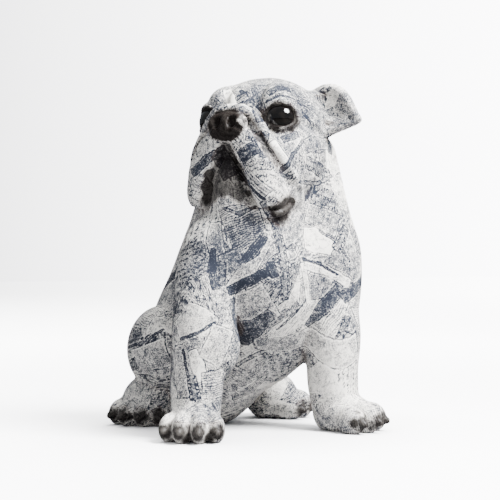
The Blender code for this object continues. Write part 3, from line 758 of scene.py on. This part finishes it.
# Each placed scrap: its course and its widths along it in 500ths of the picture, its tone, and where
# it has them its ruling and its marks. A later one is pasted over an earlier one.
front_scraps = [
    ([(216, 172), (224, 192), (240, 212)], [18, 24, 34], 0.30),
    ([(234, 206), (264, 203)], [30, 34], 0.24, 0.0, 0.3),
    ([(216, 222), (214, 240), (220, 262)], [12, 16, 14], 0.46, 0.0, 0.4),
    ([(226, 232), (246, 224), (262, 218)], [46, 40, 18], 0.44, 1.0),
    ([(228, 252), (240, 284)], [22, 18], 0.40),
    ([(270, 236), (250, 266), (224, 291)], [10, 16, 4], 0.26, 0.0, 0.3),
    ([(243, 262), (254, 251), (265, 236)], [5, 12, 6], 0.82, 1.0),
    ([(213, 248), (212, 268), (216, 290)], [4, 8, 9], 0.92, 0.0, 0.6),
    ([(222, 262), (222, 286)], [7, 7], 0.60, 0.0, 1.0),
    ([(238, 316), (272, 300)], [42, 40], 0.38, 0.0, 0.6),
    ([(234, 336), (252, 330), (272, 312)], [10, 22, 12], 0.70),
    ([(232, 298), (234, 318), (240, 342)], [6, 9, 14], 0.84),
    ([(228, 292), (274, 268)], [10, 9], 1.00),
    ([(270, 262), (275, 278)], [9, 8], 0.92),
    ([(262, 202), (275, 222), (281, 248), (285, 300)], [5, 9, 10, 9], 0.62, 0.0, 0.9),
    ([(244, 354), (280, 330), (306, 302)], [14, 18, 8], 0.18, 1.0),
    ([(262, 352), (282, 346), (304, 326)], [8, 18, 10], 0.32, 0.0, 0.9),
    ([(300, 290), (320, 284), (340, 288)], [22, 32, 14], 0.42, 0.0, 0.2),
    ([(306, 326), (324, 306), (342, 286)], [6, 14, 12], 0.88),
    ([(302, 262), (306, 280), (308, 304)], [8, 8, 5], 0.18),
    ([(318, 342), (332, 322), (346, 300)], [8, 13, 10], 0.32, 1.0),
    ([(334, 350), (348, 316)], [8, 8], 0.64, 0.0, 1.0),
    ([(304, 238), (318, 240), (334, 248)], [22, 26, 16], 0.12),
    ([(304, 265), (326, 270), (350, 284)], [8, 10, 9], 0.16),
    ([(302, 259), (320, 264), (338, 275)], [3, 3, 2], 0.95),
    ([(306, 212), (338, 226)], [20, 24], 0.38),
    ([(318, 230), (334, 240), (350, 262)], [2, 3, 2], 0.72),
    ([(177, 330), (194, 320), (216, 328)], [18, 30, 20], 0.30, 0.0, 0.3),
    ([(180, 340), (198, 333), (216, 322)], [3, 3, 2], 0.98),
    ([(178, 345), (184, 398)], [12, 15], 0.44),
    ([(183, 350), (187, 372), (193, 398)], [2, 3, 3], 0.86),
    ([(192, 350), (198, 366), (202, 382)], [8, 14, 10], 0.06),
    ([(191, 376), (196, 400)], [9, 10], 0.70, 0.0, 1.0),
    ([(202, 386), (222, 382)], [24, 28], 0.42, 1.0),
    ([(206, 340), (228, 350)], [34, 38], 0.36, 0.0, 0.4),
    ([(128, 348), (146, 342), (164, 329)], [2, 3, 2], 0.86),
    ([(128, 362), (168, 352)], [22, 30], 0.38, 0.0, 0.3),
    ([(136, 320), (150, 312), (166, 312)], [10, 16, 16], 0.34),
    ([(134, 379), (150, 376), (166, 380)], [3, 3, 3], 0.66),
    ([(192, 174), (206, 160), (226, 148)], [10, 9, 7], 0.94, 0.0, 0.3),
    ([(218, 153), (232, 176)], [16, 18], 0.78, 0.0, 0.6),
    ([(240, 158), (258, 146)], [14, 13], 0.84, 0.0, 0.9),
    ([(246, 134), (268, 138)], [13, 12], 0.64, 0.0, 0.9),
    ([(244, 170), (266, 196)], [15, 15], 0.30, 1.0),
    ([(238, 170), (250, 186), (266, 200)], [2, 3, 2], 0.80),
    ([(272, 141), (288, 164)], [9, 8], 0.05),
    ([(282, 140), (298, 134)], [8, 7], 0.86, 0.0, 0.6),
    ([(302, 148), (316, 142), (330, 144)], [12, 16, 10], 0.56, 0.0, 0.2),
    ([(303, 140), (292, 156), (280, 174)], [3, 4, 4], 0.94, 0.0, 0.3),
    ([(280, 174), (292, 178)], [4, 4], 0.92, 0.0, 0.3),
    ([(306, 162), (330, 176)], [12, 12], 0.50, 0.0, 0.9),
    ([(227, 90), (233, 106)], [9, 10], 0.02),
    ([(254, 88), (258, 98), (264, 112)], [5, 9, 6], 0.72, 0.0, 0.2),
    ([(268, 94), (278, 88), (290, 90)], [6, 8, 5], 0.72, 0.0, 0.9),
    ([(298, 98), (314, 108), (328, 128)], [6, 9, 7], 0.54, 1.0, 0.6),
    ([(210, 100), (222, 108)], [8, 6], 0.55, 0.0, 0.4),
    ([(238, 82), (256, 76), (276, 78)], [5, 9, 6], 0.50, 0.0, 0.7),
    ([(236, 118), (252, 116)], [2, 3], 0.10),
    ([(197, 122), (203, 110), (222, 105)], [2, 3, 2], 0.82),
    ([(238, 104), (250, 100), (262, 112)], [2, 3, 2], 0.88),
    ([(266, 102), (284, 96), (302, 106)], [2, 3, 2], 0.84),
    ([(262, 110), (267, 126)], [3, 4], 0.84),
    ([(302, 112), (312, 124), (322, 142)], [2, 3, 2], 0.70),
    ([(200, 128), (196, 144), (198, 158)], [3, 3, 2], 0.66),
    ([(300, 182), (316, 184), (332, 176)], [3, 4, 3], 0.70, 0.0, 0.6),
    ([(222, 208), (240, 214), (262, 208)], [2, 3, 2], 0.62),
    ([(276, 330), (292, 316), (306, 300)], [2, 3, 2], 0.70),
    ([(236, 366), (262, 352), (290, 344)], [3, 4, 3], 0.52),
    ([(232, 398), (250, 390), (266, 376)], [9, 12, 5], 0.58, 1.0),
]
# The same few scraps again round the flanks and the back, from four more turns
side_scraps = [
    ([(205, 300), (262, 268)], [12, 9], 0.90, 0.0, 0.2),
    ([(215, 330), (270, 322)], [34, 28], 0.34, 1.0),
    ([(262, 250), (232, 214)], [16, 20], 0.20, 0.0, 0.3),
    ([(285, 300), (296, 322), (300, 350)], [6, 9, 7], 0.70, 0.0, 0.9),
    ([(200, 250), (214, 226)], [12, 10], 0.55, 0.0, 0.8),
    ([(240, 180), (268, 172)], [18, 14], 0.48, 1.0),
    ([(222, 150), (238, 128)], [8, 8], 0.82, 0.0, 0.5),
    ([(180, 360), (214, 350)], [20, 22], 0.40, 0.0, 0.4),
    ([(270, 230), (300, 262)], [8, 8], 0.12),
    ([(232, 380), (262, 372)], [10, 12], 0.60, 0.0, 0.8),
]
placed_scraps = [(CAMERA_TURN, *scrap) for scrap in front_scraps]
for turn in (65, 120, 180, 240):
    placed_scraps += [(turn, *scrap) for scrap in side_scraps]
skin_points = np.empty(len(dog_body.data.vertices) * 3)
dog_body.data.vertices.foreach_get("co", skin_points)
skin_points = skin_points.reshape(-1, 3)


def scrap_places(turn, course, widths):
    """Each skin point's place along and across a scrap, and how far it lies within the edge."""
    spots = [seen_spot(x, y, turn) for x, y in course]
    best = np.full(len(skin_points), 1e9)
    places = np.zeros((len(skin_points), 3))
    total = sum((end[0] - start[0]).length for start, end in zip(spots, spots[1:]))
    start_length = 0.0
    for (start, first), (end, last), wide, narrow in zip(spots, spots[1:], widths, widths[1:]):
        length = (end - start).length
        along = (end - start).normalized()
        across = (first + last).cross(along).normalized()
        outward = along.cross(across)
        reach = skin_points - np.array(start)
        share = reach @ np.array(along) / length
        held = np.clip(share, 0.0, 1.0)
        away = np.linalg.norm(reach - np.outer(held * length, np.array(along)), axis=1)
        nearer = away < best
        best = np.where(nearer, away, best)
        x = start_length + share * length
        y = reach @ np.array(across)
        half = (wide + (narrow - wide) * held) * PICTURE_SHARE / 2
        border = np.minimum(half - np.abs(y), np.minimum(x, total - x))
        border = np.minimum(border, SCRAP_DEPTH - np.abs(reach @ np.array(outward)))
        own = np.stack([x, y, border], axis=1)
        places[nearer] = own[nearer]
        start_length += length
    return places


# Scraps that don't touch share a layer, and one that lies over another goes a layer up
layers = []
for turn, course, widths, *own_look in placed_scraps:
    own = scrap_places(turn, course, widths)
    wide = own[:, 2] > -SCRAP_MARGIN
    touched = [number for number, layer in enumerate(layers) if (layer[0] & wide).any()]
    level = max(touched) + 1 if touched else 0
    if level == len(layers):
        far_off = np.tile([0.0, 0.0, -1.0], (len(skin_points), 1))
        layers.append([np.zeros(len(skin_points), bool), far_off, np.zeros((len(skin_points), 3))])
    covered, places, looks = layers[level]
    nearer = own[:, 2] > places[:, 2]
    places[nearer] = own[nearer]
    looks[nearer] = (*own_look, 0.0, 0.0)[:3]
    covered |= wide


def keep(name, kind, values):
    """Values kept on the skin's points under this name."""
    held = dog_body.data.attributes.new(name, kind, "POINT")
    field = "value" if kind == "FLOAT" else "vector"
    held.data.foreach_set(field, np.ascontiguousarray(values, dtype=np.float32).ravel())


def known(tree, name, output="Fac"):
    """What the skin's points keep under this name."""
    return node(tree, "ShaderNodeAttribute", {"attribute_name": name}).outputs[output]


tear = calculate(tree, "MULTIPLY", swing(tree, point, 150.0, 4.0, 0.6), TEAR)
for number, (covered, places, looks) in enumerate(layers):
    keep(f"scrap_place_{number}", "FLOAT_VECTOR", places)
    keep(f"scrap_look_{number}", "FLOAT_VECTOR", looks)
    laid = node(tree, "ShaderNodeGroup", {"node_tree": lay_scrap}, Coordinates=coordinates, Look=look,
                Edge=edge, Own_Place=known(tree, f"scrap_place_{number}", "Vector"),
                Own_Look=known(tree, f"scrap_look_{number}", "Vector"), Tear=tear).outputs
    coordinates, look, edge = laid["Coordinates"], laid["Look"], laid["Edge"]

# Broad areas of darker or, below nought, paler paper: the middle and the reach in 500ths of the
# picture, and the tone added there
toned_areas = [
    (245, 245, 44, 0.28), (245, 215, 30, 0.10), (205, 265, 40, 0.16), (240, 335, 40, 0.14),
    (318, 290, 34, 0.14), (130, 330, 30, 0.12), (265, 382, 40, -0.10), (330, 215, 30, 0.10),
    (262, 178, 34, 0.16), (224, 186, 14, -0.12), (300, 105, 40, 0.14), (255, 95, 34, 0.14),
    (322, 158, 26, 0.12), (335, 370, 50, -0.26), (370, 410, 40, -0.16), (200, 420, 26, -0.10),
]


def added_up(areas):
    """The sum of soft round areas at each point of the skin."""
    total = np.zeros(len(skin_points))
    for x, y, reach, more in areas:
        away = np.linalg.norm(skin_points - np.array(seen_spot(x, y)[0]), axis=1)
        share = np.clip((1.0 - away / (reach * PICTURE_SHARE)) / 0.8, 0.0, 1.0)
        total += more * share * share * (3.0 - 2.0 * share)
    return total


keep("tone", "FLOAT", added_up(toned_areas))
ink = node(tree, "ShaderNodeGroup", {"node_tree": scrap_print}, Point=point, Coordinates=coordinates,
           Look=look, Added_Tone=known(tree, "tone")).outputs["Ink"]
broken = step(tree, noise(tree, point, 130.0, 2.0), 0.40, 0.60)
cut_edge = calculate(tree, "MULTIPLY", step(tree, edge, 0.0001, 0.0007, 0.55, 0.0), broken)
ink = calculate(tree, "ADD", cut_edge, ink)
bare_edge = calculate(tree, "MULTIPLY", step(tree, edge, 0.0005, 0.0009), step(tree, edge, 0.0020, 0.0012))
ink = calculate(tree, "MULTIPLY_ADD", bare_edge, -0.20, ink)

ramp = node(tree, "ShaderNodeValToRGB", Fac=ink)
stops = ramp.color_ramp.elements
stops[0].color = (0.75, 0.722, 0.665, 1.0)
stops[1].color = (0.012, 0.015, 0.024, 1.0)
for share, shade in ((0.25, (0.43, 0.415, 0.39)), (0.5, (0.17, 0.170, 0.173)),
                     (0.75, (0.051, 0.056, 0.069))):
    stops.new(share).color = (*shade, 1.0)

# Spots of brown beyond the folds: brushed paint at the eye corners, between the toes and round the claws,
# and painted shade in the pocket under the near flew and the far flew's hollow. The middle and the reach in
# 500ths of the picture, and its strength
brown_and_shade_spots = [
    (286, 211, 22, 1.4), (290, 203, 7, 2.4), (284, 208, 7, 2.4), (277, 212, 7, 2.4),
    (207, 199, 13, 0.9), (208, 187, 11, 1.3), (210, 175, 9, 1.3), (236, 160, 9, 1.0),
    (242, 178, 8, 0.9), (248, 193, 8, 0.8), (297, 120, 6, 0.6), (268, 127, 6, 0.6),
    (116, 412, 8, 0.8), (130, 417, 8, 0.8), (146, 418, 8, 0.8), (158, 412, 9, 0.9),
    (166, 434, 12, 0.85), (177, 437, 7, 0.8), (187, 438, 12, 0.85), (198, 439, 7, 0.8),
    (208, 437, 12, 0.85), (160, 428, 6, 0.6), (171, 424, 6, 0.6), (187, 426, 6, 0.6),
    (204, 426, 6, 0.6), (372, 426, 11, 0.7), (391, 422, 11, 0.7), (354, 424, 8, 1.0),
    (358, 412, 5, 0.7), (304, 404, 9, 0.8),
]
# these spots are brushed paint at the eyes and paws, and painted shade round the flews
keep("smudge", "FLOAT", added_up(brown_and_shade_spots))
smear = calculate(tree, "MULTIPLY", swing(tree, point, 160.0, 3.0), 1.8)
paint = None
# brown from each mark: brushed paint at claws, nose, lids and mouth, and painted shade as well in the lip
# grooves, creases, hollows and spots
for name, start, end, most, ragged in (
        ("claw", 2.1, 0.3, 0.94, 1.5), ("nose", 0.9, 0.1, 0.98, 1.0), ("eye", 1.25, 0.65, 0.96, 0.7),
        ("mouth", 1.6, 0.1, 0.88, 1.0), ("lip", 1.0, 0.0, 0.6, 1.0), ("crease", 0.16, 0.60, 0.80, 0.15),
        ("hollow", 0.50, 1.0, 0.45, 0.15), ("smudge", 0.12, 0.85, 0.95, 0.34)):
    near = calculate(tree, "MULTIPLY_ADD", smear, ragged, known(tree, name))
    laid_paint_and_shade = step(tree, near, start, end, 0.0, most)
    paint = laid_paint_and_shade if paint is None else calculate(tree, "MAXIMUM", paint, laid_paint_and_shade)
brown = blend(tree, step(tree, paint, 0.2, 0.75), PALE_BROWN, BROWN, "RGBA")
join(tree, shader.inputs["Base Color"], blend(tree, paint, ramp.outputs["Color"], brown, "RGBA"))
join(tree, shader.inputs["Roughness"], step(tree, paint, 0.3, 0.95, 0.72, 0.45))
shader.inputs["Metallic"].default_value = 0.0
shader.inputs["Specular IOR Level"].default_value = 0.12
lifted = step(tree, edge, 0.0, 0.0012)
tooth = noise(tree, point, 900.0, 3.0, 0.6)
height = calculate(tree, "MULTIPLY_ADD", lifted, 0.6, calculate(tree, "MULTIPLY", tooth, 0.3))
relief = node(tree, "ShaderNodeBump", Height=height, Strength=0.5, Distance=0.0006)
join(tree, shader.inputs["Normal"], relief.outputs["Normal"])


# Two blown glass eyes, round and nearly black, pushed into their sockets from the front
# before the lids were filled round them.

eye_glass = bpy.data.materials.new("eye_glass")
eye_glass.use_nodes = True
tree = eye_glass.node_tree
shader = tree.nodes["Principled BSDF"]
clouding = noise(tree, node(tree, "ShaderNodeTexCoord").outputs["Object"], 220.0, 3.0)
shade = blend(tree, step(tree, clouding, 0.35, 0.7), (0.0012, 0.001, 0.001, 1.0),
              (0.004, 0.003, 0.0026, 1.0), "RGBA")
join(tree, shader.inputs["Base Color"], shade)
join(tree, shader.inputs["Roughness"], step(tree, clouding, 0.3, 0.8, 0.03, 0.07))
shader.inputs["Metallic"].default_value = 0.0
shader.inputs["Specular IOR Level"].default_value = 0.5


def glass_eye(name, node_name):
    """One eye, as large and in the same place as its node."""
    low, high = [Vector(corner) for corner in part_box(node_name)]
    shape = bmesh.new()
    bmesh.ops.create_uvsphere(shape, u_segments=64, v_segments=40, radius=(high - low).x / 2)
    bmesh.ops.translate(shape, vec=(low + high) / 2, verts=shape.verts)
    mesh = bpy.data.meshes.new(name)
    shape.to_mesh(mesh)
    shape.free()
    mesh.shade_smooth()
    mesh.materials.append(eye_glass)
    item = bpy.data.objects.new(name, mesh)
    bpy.context.scene.collection.objects.link(item)
    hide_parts(node_name)
    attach(item, "root")


glass_eye("glass_eye_left", "eye_left")
glass_eye("glass_eye_right", "eye_right")


# The white paper sweep that the figure stands on. It is matt and glows to the camera, and that glow
# fades round the feet as a painted shadow, over the soft shade that the lamps cast there.

def sweep_material():
    """White paper that glows a little to the camera, less round the figure as painted shadow, and throws
    little light back up.
    """
    material = bpy.data.materials.new("studio_paper")
    material.use_nodes = True
    tree = material.node_tree
    shader = tree.nodes["Principled BSDF"]
    point = node(tree, "ShaderNodeTexCoord").outputs["Object"]
    fibre = noise(tree, point, 3.0, 3.0)
    paper = blend(tree, fibre, (0.86, 0.865, 0.875, 1.0), (0.90, 0.90, 0.905, 1.0), "RGBA")
    join(tree, shader.inputs["Base Color"], paper)
    shader.inputs["Roughness"].default_value = 0.85
    shader.inputs["Specular IOR Level"].default_value = 0.2
    shader.inputs["Emission Color"].default_value = (1.0, 0.995, 1.0, 1.0)
    sight = compute(tree, "NORMALIZE", compute(tree, "SUBTRACT", point, camera_place))
    wall = backdrop_glow(tree, compute(tree, "DOT_PRODUCT", sight, camera_right))
    away = compute(tree, "LENGTH", point)
    far = blend(tree, step(tree, away, 0.9, 4.5), step(tree, away, 0.3, 1.4, 4.0, 8.0), wall)
    # painted shadow: the glow is dimmed where ambient occlusion finds the figure close by
    shade = node(tree, "ShaderNodeAmbientOcclusion", {"samples": 8}, Distance=0.16).outputs["AO"]
    shade = calculate(tree, "POWER", shade, 2.5)
    join(tree, shader.inputs["Emission Strength"], calculate(tree, "MULTIPLY", far, shade))
    path = node(tree, "ShaderNodeLightPath").outputs
    below = blend(tree, path["Is Glossy Ray"], (0.30, 0.30, 0.31, 1.0), (0.04, 0.04, 0.04, 1.0), "RGBA")
    seen = node(tree, "ShaderNodeMixShader", Fac=path["Is Camera Ray"])
    join(tree, seen.inputs[1], node(tree, "ShaderNodeBsdfDiffuse", Color=below).outputs["BSDF"])
    join(tree, seen.inputs[2], shader.outputs["BSDF"])
    join(tree, tree.nodes["Material Output"].inputs["Surface"], seen.outputs[0])
    return material


shape = bmesh.new()
bmesh.ops.create_grid(shape, x_segments=8, y_segments=8, size=6.0)
floor_mesh = bpy.data.meshes.new("studio_floor")
shape.to_mesh(floor_mesh)
shape.free()
floor_mesh.materials.append(sweep_material())
floor = bpy.data.objects.new("studio_floor", floor_mesh)
bpy.context.scene.collection.objects.link(floor)
